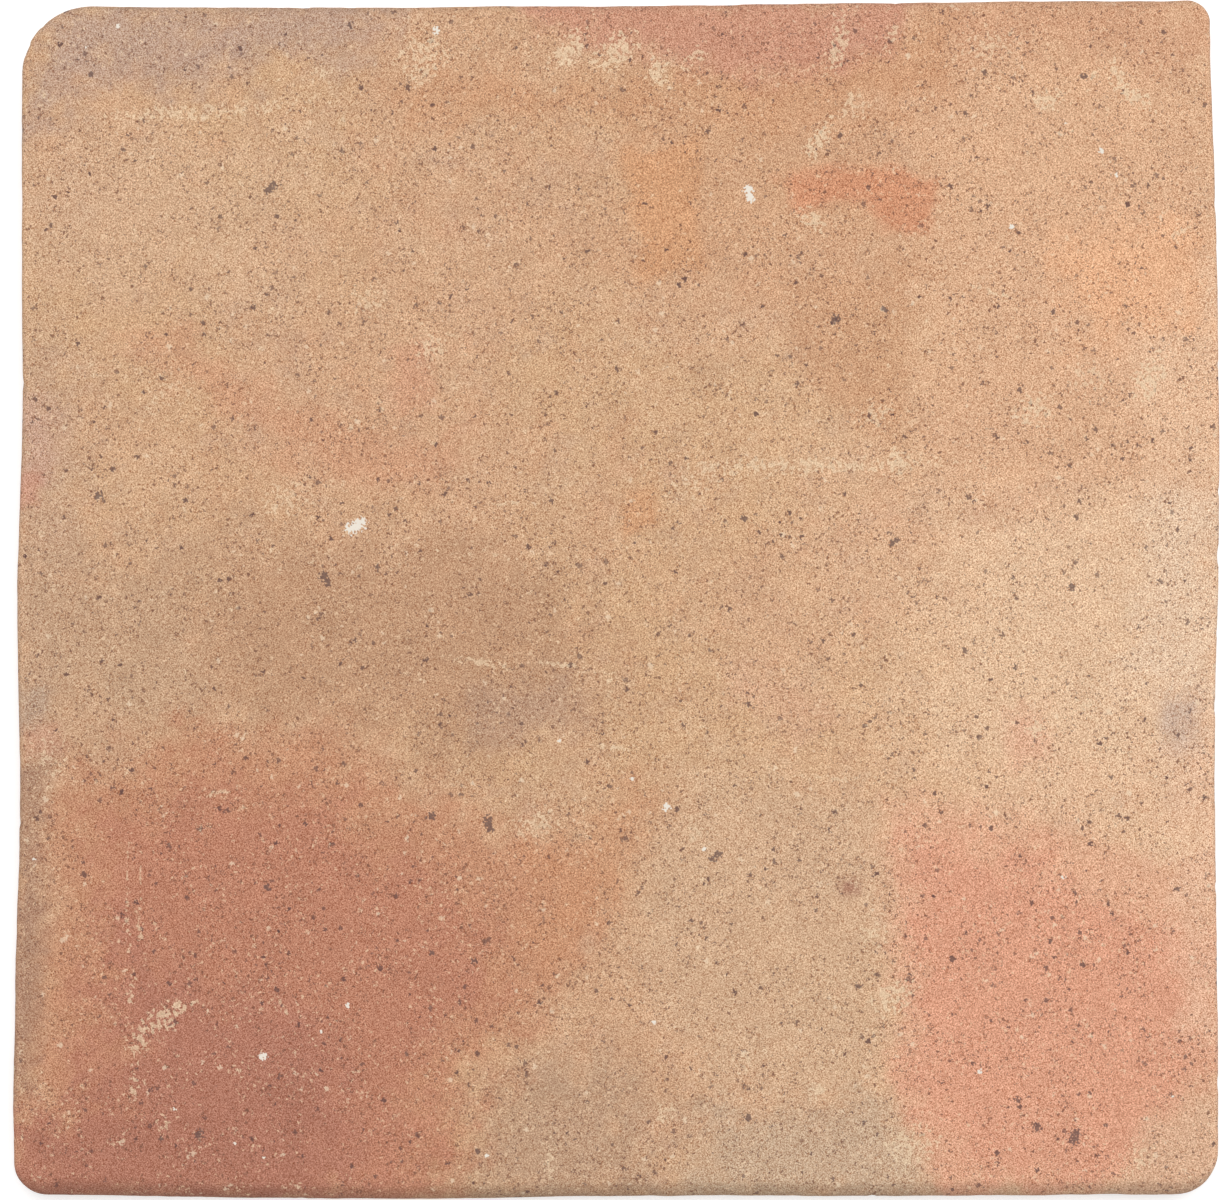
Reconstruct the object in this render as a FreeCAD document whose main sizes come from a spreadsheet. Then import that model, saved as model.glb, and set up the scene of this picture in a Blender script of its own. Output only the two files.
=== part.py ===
"""Hand-moulded terracotta floor tile: one solid of fired clay, lying face up, in millimetres.

The outline is a square struck by hand. Each corner has a radius of its own, and each side swells
and hollows by about a millimetre between its corners. The face's edge is rounded by a different
amount along each side, and the edge of the bed is only eased.

+Z points up out of the face, +X to the right and +Y to the back as the tile is seen from above.
The origin is at the middle of the bed.
"""

import FreeCAD
import Part
import Sketcher
import math
import os

from FreeCAD import Vector

SIZES = {
    # True rectangle and thickness
    "width": 300.0,
    "length": 299.0,
    "thickness": 20.0,
    # Radius of each corner in plan
    "front_left_radius": 8.5,
    "front_right_radius": 11.0,
    "back_right_radius": 5.5,
    "back_left_radius": 17.0,
    # Radius of the rounded edge of the face along each side
    "front_arris": 5.0,
    "right_arris": 2.0,
    "back_arris": 3.5,
    "left_arris": 2.5,
    # Radius of the eased edge of the bed
    "bed_arris": 1.5,
}

# How far each corner stands out of the true rectangle: x, then y, negative where it falls short
CORNER_SHIFTS = {
    "front_left": (0.5, -0.6),
    "front_right": (0.3, -0.7),
    "back_right": (-1.7, 0.3),
    "back_left": (-1.6, -1.1),
}

# Swell of each side out of the true rectangle at even stations, counter-clockwise round the tile
SIDE_SWELLS = {
    "front": (0.2, 0.6, -0.5, -0.3, -0.3),
    "right": (0.4, -1.3, 0.7, 0.5, 0.2),
    "back": (0.0, -0.3, -1.2, -1.1, -1.7),
    "left": (-1.5, -2.1, 0.3, -2.0, 0.5),
}

# An arris is at most this share of the tighter corner radius that it runs into
ARRIS_SHARE_OF_CORNER = 0.85

# The corners that each side runs from and to, counter-clockwise, and the axis that it runs along
SIDES = {
    "front": ("front_left", "front_right", "x"),
    "right": ("front_right", "back_right", "y"),
    "back": ("back_right", "back_left", "x"),
    "left": ("back_left", "front_left", "y"),
}

SPLINE_DEGREE = 3
EIGHTH_TURN = math.pi / 4

# A sketch numbers the points of an edge in this order
START, END, CENTRE = range(1, 4)

# Heights closer than this count as one level
LEVEL_TOLERANCE = 1e-4


def make_sheet(doc):
    """The spreadsheet of driving dimensions, one alias for each."""
    sizes = dict(SIZES)
    for corner, (shift_x, shift_y) in CORNER_SHIFTS.items():
        sizes[f"{corner}_shift_x"] = shift_x
        sizes[f"{corner}_shift_y"] = shift_y
    for side, swells in SIDE_SWELLS.items():
        for station, swell in enumerate(swells, 1):
            sizes[f"{side}_swell_{station}"] = swell
    sheet = doc.addObject("Spreadsheet::Sheet", "Sizes")
    for row, (alias, value) in enumerate(sizes.items(), 1):
        sheet.set(f"A{row}", alias)
        sheet.set(f"B{row}", str(value))
        sheet.setAlias(f"B{row}", alias)
    doc.recompute()
    return sheet


def corner_sign(corner, axis):
    """The sign of x or y at a corner."""
    positive = "right" if axis == "x" else "back"
    return 1 if positive in corner.split("_") else -1


def half_size(axis):
    """Half of the true rectangle along x or y, as an expression."""
    return "Sizes.width / 2" if axis == "x" else "Sizes.length / 2"


def corner_reach(corner, axis):
    """Distance from the middle to the two sides that meet at a corner, as an expression."""
    return f"({half_size(axis)} + Sizes.{corner}_shift_{axis})"


def side_poles(side):
    """Control points of a side in the order that it runs, as pairs of expressions for x and y.

    They are spread so that the spline runs at an even speed. The first two and the last two are
    level, which makes the side tangent to its corners.
    """
    first, last, along = SIDES[side]
    across = "y" if along == "x" else "x"
    outward = corner_sign(first, across)
    spans = len(SIDE_SWELLS[side]) + 1
    lead = f"1 / {SPLINE_DEGREE * spans}"
    start, end = (
        f"{corner_sign(corner, along)} * ({corner_reach(corner, along)} - Sizes.{corner}_radius)"
        for corner in (first, last)
    )

    def pole(share, reach):
        return {
            along: f"{start} + ({share}) * ({end} - {start})",
            across: f"{outward} * {reach}",
        }

    poles = [pole(share, corner_reach(first, across)) for share in ("0", lead)]
    for station in range(1, spans):
        reach = f"({half_size(across)} + Sizes.{side}_swell_{station})"
        poles.append(pole(f"{station} / {spans}", reach))
    poles += [pole(share, corner_reach(last, across)) for share in (f"1 - {lead}", "1")]
    return [(point["x"], point["y"]) for point in poles]


def bind(sketch, constraint, name, expression):
    """Adds a dimension to the sketch and binds it to cells of the sheet."""
    index = sketch.addConstraint(constraint)
    sketch.renameConstraint(index, name)
    sketch.setExpression(f"Constraints.{name}", expression)


def add_side(sketch, side):
    """One side as a spline whose control points are all dimensioned from the origin."""
    texts = side_poles(side)
    points = [Vector(*(float(sketch.evalExpression(text)) for text in pair)) for pair in texts]
    curve = Part.BSplineCurve(points, None, None, False, SPLINE_DEGREE, None, False)
    spline = sketch.addGeometry(curve, False)
    markers = [sketch.addGeometry(Part.Circle(p, Vector(0, 0, 1), 1), True) for p in points]
    sketch.addConstraint(Sketcher.Constraint("Weight", markers[0], 1.0))
    for marker in markers[1:]:
        sketch.addConstraint(Sketcher.Constraint("Equal", markers[0], marker))
    for index, marker in enumerate(markers):
        kind = "InternalAlignment:Sketcher::BSplineControlPoint"
        sketch.addConstraint(Sketcher.Constraint(kind, marker, CENTRE, spline, index))
    # The sketch's own x axis starts at the origin
    origin = (-1, START)
    for index, (marker, point, (x_text, y_text)) in enumerate(zip(markers, points, texts)):
        across = Sketcher.Constraint("DistanceX", *origin, marker, CENTRE, point.x)
        bind(sketch, across, f"{side}_x_{index}", x_text)
        upward = Sketcher.Constraint("DistanceY", *origin, marker, CENTRE, point.y)
        bind(sketch, upward, f"{side}_y_{index}", y_text)
    return spline


def add_corner(sketch, corner, splines):
    """A quarter circle from the side that ends at a corner to the side that starts there."""
    radius = float(sketch.evalExpression(f"Sizes.{corner}_radius"))
    diagonal = Vector(corner_sign(corner, "x"), corner_sign(corner, "y"))
    centre = Vector(
        diagonal.x * (float(sketch.evalExpression(corner_reach(corner, "x"))) - radius),
        diagonal.y * (float(sketch.evalExpression(corner_reach(corner, "y"))) - radius),
    )
    circle = Part.Circle(centre, Vector(0, 0, 1), radius)
    middle = math.atan2(diagonal.y, diagonal.x)
    quarter = Part.ArcOfCircle(circle, middle - EIGHTH_TURN, middle + EIGHTH_TURN)
    arc = sketch.addGeometry(quarter, False)
    for side, (first, last, along) in SIDES.items():
        if last == corner:
            join = Sketcher.Constraint("Coincident", splines[side], END, arc, START)
            sketch.addConstraint(join)
        if first == corner:
            join = Sketcher.Constraint("Coincident", arc, END, splines[side], START)
            sketch.addConstraint(join)
    round_to = Sketcher.Constraint("Radius", arc, radius)
    bind(sketch, round_to, f"{corner}_round", f"Sizes.{corner}_radius")


def level_edges(shape, height):
    """The edges that lie at one height, with the numbers that the document knows them by."""
    for index, edge in enumerate(shape.Edges, 1):
        levels = edge.BoundBox.ZMin, edge.BoundBox.ZMax
        if all(abs(level - height) < LEVEL_TOLERANCE for level in levels):
            yield index, edge


def make_slab(doc):
    """The slab with its true outline and the eased edge of its bed."""
    body = doc.addObject("PartDesign::Body", "slab")
    outline = body.newObject("Sketcher::SketchObject", "outline")
    plane = next(f for f in body.Origin.OriginFeatures if f.Role == "XY_Plane")
    outline.AttachmentSupport = (plane, "")
    outline.MapMode = "FlatFace"
    splines = {side: add_side(outline, side) for side in SIDES}
    for corner in CORNER_SHIFTS:
        add_corner(outline, corner, splines)
    doc.recompute()

    pad = body.newObject("PartDesign::Pad", "moulded_slab")
    pad.Profile = outline
    pad.setExpression("Length", "Sizes.thickness")
    doc.recompute()

    easing = body.newObject("PartDesign::Fillet", "eased_bed")
    easing.Base = (pad, [f"Edge{index}" for index, edge in level_edges(pad.Shape, 0.0)])
    easing.setExpression("Radius", "Sizes.bed_arris")
    body.Tip = easing
    doc.recompute()
    return body


def nearest(point, places):
    """The name of the place that lies nearest to a point."""
    return min(places, key=lambda name: point.distanceToPoint(places[name]))


def side_arris(sheet, side):
    """Radius of the face's edge along a side, which its two corners leave room for."""
    first, last, along = SIDES[side]
    tightest = min(float(sheet.get(f"{corner}_radius")) for corner in (first, last))
    return min(float(sheet.get(f"{side}_arris")), ARRIS_SHARE_OF_CORNER * tightest)


def round_face(doc, sheet, body):
    """Rounds the face's edge: one radius along each side, running into the next round a corner."""
    thickness = float(sheet.thickness)
    half_x, half_y = float(sheet.width) / 2, float(sheet.length) / 2
    corner_at = {
        name: Vector(corner_sign(name, "x") * half_x, corner_sign(name, "y") * half_y, thickness)
        for name in CORNER_SHIFTS
    }
    side_at = {
        side: (corner_at[first] + corner_at[last]) / 2
        for side, (first, last, along) in SIDES.items()
    }
    radii = []
    for index, edge in level_edges(body.Shape, thickness):
        # A corner's arc is left out: the rounding of its two sides meets along it
        if not isinstance(edge.Curve, Part.Circle):
            middle = edge.valueAt((edge.FirstParameter + edge.LastParameter) / 2)
            radius = side_arris(sheet, nearest(middle, side_at))
            radii.append((index, radius, radius))

    tile = doc.addObject("Part::Fillet", "rounded_face")
    tile.Label = "terracotta_tile"
    tile.Base = body
    tile.Edges = radii
    doc.recompute()
    return tile


def check(doc, tile):
    """Stops unless every object recomputed and the tile is one valid solid."""
    for item in doc.Objects:
        failed = {"Invalid", "Error"} & set(item.State)
        if failed:
            raise RuntimeError(f"{item.Label} did not recompute: {sorted(failed)}")
    shape = tile.Shape
    if shape.isNull() or not shape.isValid() or len(shape.Solids) != 1:
        raise RuntimeError(f"{tile.Label} is not one valid solid")


def main():
    doc = FreeCAD.newDocument("terracotta_floor_tile")
    sheet = make_sheet(doc)
    body = make_slab(doc)
    tile = round_face(doc, sheet, body)
    check(doc, tile)
    os.makedirs("parts", exist_ok=True)
    tile.Shape.exportStep(os.path.join("parts", f"{tile.Label}.step"))
    box = tile.Shape.optimalBoundingBox()
    print(f"{tile.Label}: {box.XLength:.2f} x {box.YLength:.2f} x {box.ZLength:.2f} mm")
    print(f"volume {tile.Shape.Volume / 1e6:.4f} litres, {len(tile.Shape.Faces)} faces")


main()
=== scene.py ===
import math

import bpy
import numpy as np
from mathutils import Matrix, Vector, noise
from mathutils.bvhtree import BVHTree


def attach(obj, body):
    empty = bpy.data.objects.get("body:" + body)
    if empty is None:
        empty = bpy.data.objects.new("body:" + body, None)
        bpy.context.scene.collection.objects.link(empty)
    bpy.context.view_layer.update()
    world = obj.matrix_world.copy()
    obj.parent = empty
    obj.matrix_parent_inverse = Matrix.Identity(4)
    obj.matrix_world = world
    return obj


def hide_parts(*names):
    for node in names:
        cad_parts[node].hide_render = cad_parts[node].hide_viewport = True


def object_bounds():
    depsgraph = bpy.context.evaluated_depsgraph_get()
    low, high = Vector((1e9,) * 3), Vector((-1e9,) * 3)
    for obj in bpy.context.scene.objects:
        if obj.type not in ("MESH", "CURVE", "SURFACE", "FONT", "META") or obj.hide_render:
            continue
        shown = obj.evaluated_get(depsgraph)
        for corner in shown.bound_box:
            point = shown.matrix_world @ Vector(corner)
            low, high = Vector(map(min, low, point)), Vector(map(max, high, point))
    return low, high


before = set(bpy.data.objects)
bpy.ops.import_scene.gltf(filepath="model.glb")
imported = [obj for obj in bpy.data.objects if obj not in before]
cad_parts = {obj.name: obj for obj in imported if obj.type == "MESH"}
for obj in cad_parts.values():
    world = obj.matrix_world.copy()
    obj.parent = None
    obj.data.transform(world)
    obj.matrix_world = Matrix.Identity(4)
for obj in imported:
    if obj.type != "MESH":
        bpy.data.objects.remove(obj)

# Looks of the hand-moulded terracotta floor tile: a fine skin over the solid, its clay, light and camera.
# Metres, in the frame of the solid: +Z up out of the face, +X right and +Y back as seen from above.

CAD_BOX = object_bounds()

NODE = "terracotta_tile"
SLOT = "fired_clay"
BODY = "root"

MM = 0.001
BOTTOM = CAD_BOX[0].z
TOP = CAD_BOX[1].z
MIDDLE = (BOTTOM + TOP) / 2
HALF_WIDTH = max(abs(CAD_BOX[0].x), CAD_BOX[1].x)
# Well clear of the tile: where rays start, and half a side of the floor
FAR = 4 * HALF_WIDTH

# Cells of the skin along one side of the face and of the underside, and steps down each part of the edge
FACE_CELLS = 256
BED_CELLS = FACE_CELLS // 4
ARRIS_STEPS = 8
WALL_STEPS = 10
BED_STEPS = 4
# Inset at which an edge's radius is measured on the solid
PROBE = 0.4 * MM
# Insets of the two coarser rings of the underside from its rounded edge
BED_RINGS = (2.5 * MM, 6 * MM)

# Heights of the relief
SLOW_WAVE = 0.22 * MM
HAND_DENT = 0.10 * MM
SAND_ROUGH = 0.05 * MM
PIT_DEPTH = 0.40 * MM
WORN_EDGE = 0.22 * MM
DRAG_LINE = 0.20 * MM
BED_ROUGH = 0.15 * MM
# Noise at which a pit starts and at which it has its full depth
PIT_RANGE = (0.42, 0.75)
# How much closer the drag lines lie up the wall than along it
DRAG_CLOSENESS = 7

# Random clouds over the skin: size in mm, finer steps within them, seed, and how calm they are
CLOUDS = {
    "pits": (6, 2, 1),
    "sand": (3, 2, 2),
    "waves": (60, 2, 3),
    "dents": (16, 3, 4),
    "wear": (9, 3, 5),
    "drags": (22, 3, 6),
    "bed": (7, 3, 7),
    "border_x": (24, 5, 11, 0.7),
    "border_y": (24, 5, 12, 0.7),
    "hue": (45, 4, 13),
    "crowding": (14, 4, 14, 0.5),
    "fray": (7, 4, 15, 0.4),
    "strewn": (4.5, 4, 17, 0.5),
}
# Each finer step of a cloud is this many times smaller, and each seed starts this much further on
STEP_FINENESS = 2.0
SEED_SHIFT = Vector((17.3, 5.1, 9.7))

# Names of what the skin carries: firing colour with painted light and shade, crowding of the specks, strewn
# sand, the way to the nearest smear and that smear's strength, the way to the nearest fleck and grain, and
# its flat map
TINT_WITH_PAINTED_LIGHT = "clay_tint_and_painted_light"
CROWDING = "speck_crowding"
STREWN = "strewn_sand"
SMEAR_WAY = "way_to_smear"
SMEAR_STRENGTH = "smear_strength"
FLECK_WAY = "way_to_fleck"
GRAIN_WAY = "way_to_grain"
BAKE_MAP = "OFBake"

# Layout of the skin's flat map in pixels: the face, the four walls as strips beside it, the underside above
MAP_PIXELS = 1024
MAP_MARGIN = 6
MAP_FACE = 826
MAP_WALL_START = 842
MAP_WALL_PITCH = 45
MAP_WALL_WIDTH = 37
MAP_BED_START = 842
MAP_BED = 174

# Colours of the clay as seen on a screen, 0 to 255
LEFT_CLAY = (209, 167, 131)
# The right colour is made paler by painted light, which falls more strongly on the right
LIT_RIGHT_CLAY = (227, 184, 149)
YELLOW_CLAY = (207, 168, 134)
PINK_CLAY = (207, 166, 135)
INNER_CLAY = (204, 158, 124)
LIME_WHITE = (240, 230, 216)
CREAM = (236, 208, 174)
IRON_GREY = (104, 80, 76)

# Areas of a different firing colour: colour, strength, softness of the border in mm,
# and the corners of the area in mm from the middle of the tile
PATCHES = {
    "cream_right": ((228, 191, 157), 0.80, 15,
        ((84, 15), (116, 24), (152, 26), (152, -50), (98, -50), (75, -30))),
    "pale_right_edge": ((231, 199, 170), 0.75, 11, ((131, 28), (152, 32), (152, -22), (131, -20))),
    "upper_right": ((218, 172, 137), 0.75, 8, ((72, 151), (152, 151), (152, 30), (86, 25), (75, 45))),
    "upper_left": ((213, 175, 143), 0.60, 14, ((-150, 115), (-80, 115), (-80, 75), (-150, 75))),
    "top_right": ((208, 157, 124), 0.70, 8, ((78, 152), (152, 152), (152, 133), (80, 136))),
    "right_edge": ((232, 191, 157), 0.75, 9, ((126, 88), (152, 88), (152, 30), (130, 30))),
    "bright_orange": ((231, 177, 137), 0.85, 8, ((108, 92), (141, 94), (145, 68), (114, 65))),
    "brown_edge": ((205, 157, 121), 0.75, 4, ((38, 78), (72, 82), (74, 40), (68, 38), (51, 50))),
    "upper_tan": ((208, 160, 124), 0.60, 9, ((6, 125), (74, 128), (78, 80), (36, 75), (1, 78))),
    "orange_blotch": ((212, 158, 117), 0.80, 2.5, ((2, 112), (20, 114), (21, 82), (6, 79))),
    "red_patch": ((211, 145, 110), 0.80, 2.2,
        ((40, 105), (46, 107), (70, 108), (79, 104), (78, 91), (67, 92), (61, 99), (46, 98))),
    "top_orange": ((205, 153, 116), 0.70, 6,
        ((-56, 128), (-4, 129), (36, 134), (82, 145), (85, 124), (46, 119), (6, 120), (-49, 120))),
    "top_band": ((203, 146, 121), 0.85, 5,
        ((-30, 151), (76, 151), (67, 136), (46, 129), (21, 132), (1, 138), (-20, 143))),
    "grey_corner": ((186, 156, 140), 0.75, 9,
        ((-148, 120), (-144, 139), (-132, 149), (-52, 149), (-68, 136), (-96, 132), (-129, 128))),
    "left_dusk": ((199, 162, 134), 0.70, 9, ((-151, 68), (-134, 65), (-132, 20), (-139, -25), (-151, -40))),
    "left_tan": ((196, 159, 128), 0.80, 14, ((-151, 10), (-96, 12), (-96, -36), (-151, -42))),
    "pink_streak": ((207, 153, 120), 0.65, 5,
        ((-125, 71), (-104, 62), (-79, 48), (-42, 39), (-44, 28), (-72, 29), (-88, 40), (-114, 59))),
    "pink_spot": ((208, 152, 121), 0.65, 3, ((-57, 62), (-46, 64), (-45, 49), (-54, 48))),
    "orange_spot": ((209, 156, 116), 0.80, 1.8, ((1, 27), (10, 28), (10, 18), (2, 16))),
    "olive_band": ((192, 150, 118), 0.85, 12,
        ((-100, 10), (-49, 14), (-14, 9), (-5, -10), (-6, -30), (-44, -41), (-72, -32), (-100, -25))),
    "grey_cloud": ((187, 151, 126), 0.70, 4.5, ((-41, -22), (-12, -20), (-8, -32), (-36, -34))),
    "sandy_band": ((211, 174, 141), 0.75, 8, ((11, -40), (66, -48), (68, -120), (26, -122), (6, -90))),
    "band_foot": ((201, 171, 143), 0.85, 7, ((18, -128), (71, -125), (75, -150), (18, -150))),
    "olive_foot": ((186, 152, 125), 0.70, 11,
        ((-48, -150), (-36, -128), (-14, -115), (6, -122), (10, -150))),
    "pink_trail": ((215, 169, 138), 0.65, 3.5, ((27, -14), (46, -22), (58, -30), (46, -33), (31, -25))),
    "pink_fleck": ((223, 169, 140), 0.65, 4, ((98, -28), (108, -26), (106, -40), (98, -42))),
    "grey_spot": ((195, 168, 153), 0.60, 4, ((137, -22), (146, -22), (148, -38), (138, -39))),
    "left_pink": ((203, 163, 142), 0.70, 4, ((-150, 51), (-140, 51), (-141, 30), (-150, 30))),
    "left_red_spot": ((203, 148, 126), 0.70, 1.5, ((-150, 32), (-143, 32), (-144, 24), (-150, 24))),
    "left_grey": ((185, 157, 136), 0.65, 4, ((-150, -21), (-142, -22), (-143, -32), (-150, -32))),
    "left_pink_spot": ((209, 157, 129), 0.65, 2.5, ((-148, -31), (-139, -31), (-139, -38), (-148, -38))),
    "left_halo": ((198, 143, 111), 0.90, 9,
        ((-138, -42), (-109, -34), (-79, -30), (-64, -40), (-46, -47), (-18, -60), (-6, -66), (-8, -84),
         (-14, -100), (-20, -112), (-34, -124), (-44, -151), (-152, -151), (-152, -130), (-146, -122),
         (-144, -95), (-143, -65))),
    "orange_tongue": ((205, 150, 113), 0.60, 8, ((-24, -66), (4, -46), (12, -50), (4, -66), (-14, -90))),
    "left_flush": ((190, 130, 105), 0.90, 11,
        ((-127, -54), (-104, -48), (-72, -53), (-49, -65), (-32, -82), (-29, -102), (-44, -118),
         (-49, -151), (-152, -151), (-152, -132), (-131, -122), (-126, -90))),
    "left_core": ((179, 121, 101), 0.75, 11,
        ((-122, -82), (-99, -98), (-72, -110), (-66, -151), (-149, -151), (-149, -132), (-124, -128),
         (-119, -102))),
    "left_foot": ((178, 120, 99), 0.75, 7, ((-139, -128), (-74, -121), (-73, -151), (-146, -151))),
    "left_margin": ((169, 131, 109), 0.75, 5,
        ((-152, -38), (-142, -38), (-144, -65), (-142, -96), (-144, -122), (-152, -126))),
    "right_halo": ((225, 173, 141), 0.92, 4.5,
        ((68, -49), (96, -52), (118, -60), (152, -66), (152, -121), (137, -130), (128, -142), (111, -149),
         (84, -149), (72, -130), (68, -88))),
    "right_flush": ((221, 159, 130), 0.90, 8,
        ((73, -61), (101, -62), (118, -74), (152, -84), (152, -114), (138, -126), (122, -143), (86, -147),
         (74, -120))),
    "red_grain": ((168, 116, 96), 0.75, 1.5, ((56, -70), (60, -70), (60, -74), (56, -74))),
    "right_rim": ((232, 189, 158), 0.65, 8, ((138, -38), (152, -38), (152, -112), (141, -110))),
    "sandy_corner": ((218, 175, 144), 0.85, 4.5, ((130, -131), (152, -121), (152, -151), (125, -151))),
}
# Shares of a border's softness by which large clouds push it about and small ones fray it
BORDER_RAGGED = 0.7
BORDER_FRAYED = 0.7
# Where the clay turns from the left colour to the paler right one, a painted brightening towards the right
# where more light falls, in mm from the middle
LIGHT_TURN_START = 0
LIGHT_TURN_END = 130
# How far the clay's yellow and pink clouds are drawn out along X, and the noise at which each is full
HUE_STRETCH = (0.7, 1, 1)
HUE_RANGE = (-0.5, 0.5)
# Random firing clouds: size in mm, colour that they bring, and strength
VEILS = (
    (22, (218, 180, 146), 0.25),
    (30, (203, 157, 124), 0.30),
    (12, (218, 181, 147), 0.25),
    (10, (207, 152, 119), 0.25),
    (16, (192, 158, 134), 0.20),
    (6, (190, 156, 136), 0.22),
    (5, (224, 186, 152), 0.28),
)
# Their finer steps, how calm they are, the seed of the first, and the noise at which one starts and is full
VEIL_STEPS = 5
VEIL_CALM = 0.5
VEIL_SEED = 20
VEIL_RANGE = (0.15, 0.9)
# Small changes of brightness: size in mm and share, their finer steps and the seed of the first
MOTTLES = ((9, 0.05), (2.6, 0.06))
MOTTLE_STEPS = 2
MOTTLE_SEED = 30

# Painted light and shade on the rounded rim: how much paler it is painted along the left and the right
# side, where light falls on it, and how much darker along the front, where it lies in shade
PAINTED_SIDE_LIGHT = 0.14
PAINTED_FRONT_SHADE = 0.16
# How far the rim leans out, and how far it still faces up, where that starts and where it is full
RIM_LEAN = (0.1, 0.5)
RIM_FACING = (0, 0.3)
# How far a surface faces up where the plain inner clay starts and where it is full, and its share there
HIDDEN_FACING = (0.5, -0.3)
HIDDEN_SHARE = 0.7

# Pale smears of sand and lime:
# middle x and y, half length and half width in mm, turn in degrees, and strength
SMEARS = (
    (-48, 136, 5.0, 4.5, 60, 0.75), (-12, 137, 4.5, 2.4, 50, 0.95), (0, 137, 5.0, 2.6, 35, 0.95),
    (10.5, 132, 3.0, 2.0, 80, 0.9), (19.5, 135, 3.0, 1.6, 40, 0.7), (-101, 121.8, 21, 1.6, 3, 0.68),
    (-73, 130.5, 4.0, 2.5, 0, 0.5), (55, 138, 6.0, 2.0, 75, 0.75), (59.5, 123, 3.5, 3.0, 0, 0.6),
    (69, 141, 4.0, 1.2, 70, 0.6), (92, 138, 7.0, 4.0, 20, 0.40), (107.5, 124.5, 2.8, 2.2, 0, 0.85),
    (129, 125.5, 4.5, 1.6, 150, 0.90), (125, 131, 3.6, 1.4, 110, 0.80), (119, 130, 3.0, 1.0, 70, 0.60),
    (50.5, 115, 4.0, 1.8, 60, 0.9), (49, 94.5, 3.2, 2.0, -30, 0.9),
    (133, 55.5, 4.5, 2.6, 60, 0.9), (140.5, 91.5, 2.5, 2.0, 0, 0.5), (118, 55.5, 5.0, 4.0, 0, 0.5),
    (104, 47.5, 3.8, 3.0, 30, 0.75), (65, 46, 4.5, 3.0, 0, 0.5), (94, 76.5, 5.0, 0.8, -18, 0.6),
    (45.5, 33.4, 27, 1.6, 1, 0.72), (70.5, 34.5, 3.0, 2.2, 60, 0.9), (18, 30, 7.0, 4.0, 10, 0.5),
    (-82, 25, 6.5, 4.0, 10, 0.5), (-27, 24, 3.2, 0.6, 4, 0.65),
    (-31, 11.5, 4.8, 0.6, -14, 0.6), (-8, 10, 4.5, 0.5, -4, 0.5), (-34, -15.5, 6.5, 0.9, -10, 0.7),
    (-12.8, -16.4, 6.0, 0.8, -10, 0.7), (-1, -20, 3.0, 1.2, 80, 0.6), (-1, -36.6, 4.5, 0.7, -8, 0.65),
    (56, -44.5, 9.0, 0.8, -2, 0.55), (104.5, -31.8, 2.0, 1.7, 0, 0.8), (116.5, -26.5, 3.0, 2.2, 0, 0.5),
    (-62, 75, 4.5, 3.5, 0, 0.55), (-46, 63, 4.0, 3.0, 40, 0.7), (-112, 51, 7.0, 4.5, 30, 0.45),
    (-99, -48, 6.0, 0.8, 8, 0.50), (-121.8, -72, 13, 0.5, 90, 0.45), (-118.6, -73, 12, 0.5, 89, 0.45),
    (-121.6, -84, 3.5, 0.8, 90, 0.60), (-118.6, -83, 3.5, 0.6, 90, 0.55), (-121, -98.4, 3.0, 1.0, 80, 0.62),
    (-119.2, -110.5, 3.4, 2.0, 75, 0.65), (-120.2, -120.4, 3.6, 1.1, 90, 0.62),
    (-111, -102.2, 4.2, 1.5, 20, 0.80), (-114, -105.8, 4.0, 1.2, 12, 0.72),
    (-83, -101, 3.5, 0.8, 120, 0.50), (-113, -130, 3.0, 1.2, 100, 0.45),
    (68.5, -99, 4.5, 3.0, 40, 0.85), (73, -136, 6.0, 4.0, 30, 0.7), (130, -139, 4.0, 3.0, 60, 0.6),
    (64, -82.5, 4.0, 3.0, 60, 0.6), (49.7, -122.6, 2.6, 2.0, 0, 0.8), (12, -127.5, 2.2, 2.0, 0, 0.7),
    (31.5, -115, 2.4, 1.8, 60, 0.6), (-16.5, -139.5, 5.0, 1.3, 90, 0.6), (20, -58, 4.0, 3.0, 0, 0.5),
    (-142, -40, 5.0, 4.0, 60, 0.5), (-20, -56, 5.0, 3.5, 20, 0.6),
)
# Ragged edge of a smear, and how far sand and grain break it up, as shares of its half sizes
SMEAR_RAGGED = 1.8
SMEAR_SAND = 2.2
SMEAR_GRAIN = 1.0
# How far the weakest and the strongest smear draw in, where their edge starts and is full, and their cover
SMEAR_DRAWN_IN = (1.3, 0.0)
SMEAR_EDGE = (1.1, 0.75)
SMEAR_COVER = (0.34, 0.70)
# Share of the sand grain's light and dark that shows in a smear
SMEAR_TONE = 0.35

# Sand strewn at random: strength of its clouds, and the noise at which one starts and is full
STREWN_AMOUNT = 0.55
STREWN_RANGE = (0.4, 0.9)
# How far sand and grain break it up, where its edge starts and is full, and its cover
STREWN_SAND = 0.6
STREWN_GRAIN = 0.5
STREWN_EDGE = (0.45, 0.95)
STREWN_COVER = 0.70

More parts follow.
